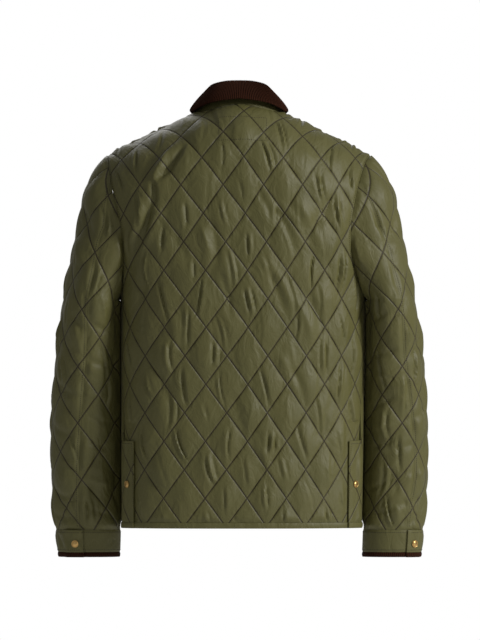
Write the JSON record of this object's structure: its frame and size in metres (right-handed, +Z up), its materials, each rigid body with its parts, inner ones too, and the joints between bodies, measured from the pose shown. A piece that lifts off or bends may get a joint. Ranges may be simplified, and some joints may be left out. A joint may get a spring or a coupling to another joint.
{
  "type": "quilted jacket",
  "caption": "Olive nylon jacket with diamond quilting, a turned-down brown corduroy collar, snapped side vents and snapped cuffs bound in brown corduroy, held hollow as if worn.",
  "frame": {"origin": "middle of the neck opening, at the height where the shoulders meet the collar", "axes": "+Z up, the front faces -Y, +X is the wearer's left"},
  "size_m": [0.6469, 0.2751, 0.8145],
  "materials": {
    "shell_nylon": "satin quilted nylon",
    "corduroy": "wide-wale cotton corduroy",
    "brass": "pressed and lacquered"
  },
  "bodies": {
    "root": {"back": "shell_nylon", "front_left": "shell_nylon", "front_right": "shell_nylon", "top_sleeve_left": "shell_nylon", "top_sleeve_right": "shell_nylon", "under_sleeve_left": "shell_nylon", "under_sleeve_right": "shell_nylon", "cuff_left": "shell_nylon", "cuff_right": "shell_nylon", "cuff_binding_left": "corduroy", "cuff_binding_right": "corduroy", "hem_binding_back": "shell_nylon", "hem_binding_front_left": "shell_nylon", "hem_binding_front_right": "shell_nylon", "collar_stand": "shell_nylon", "collar_leaf": "corduroy", "vent_snap_left": "brass", "vent_snap_right": "brass", "cuff_snap_left": "brass", "cuff_snap_right": "brass", "front_snap_1": "brass", "front_snap_2": "brass", "front_snap_3": "brass", "front_snap_4": "brass", "front_snap_5": "brass", "front_snap_6": "brass"}
  },
  "joints": []
}
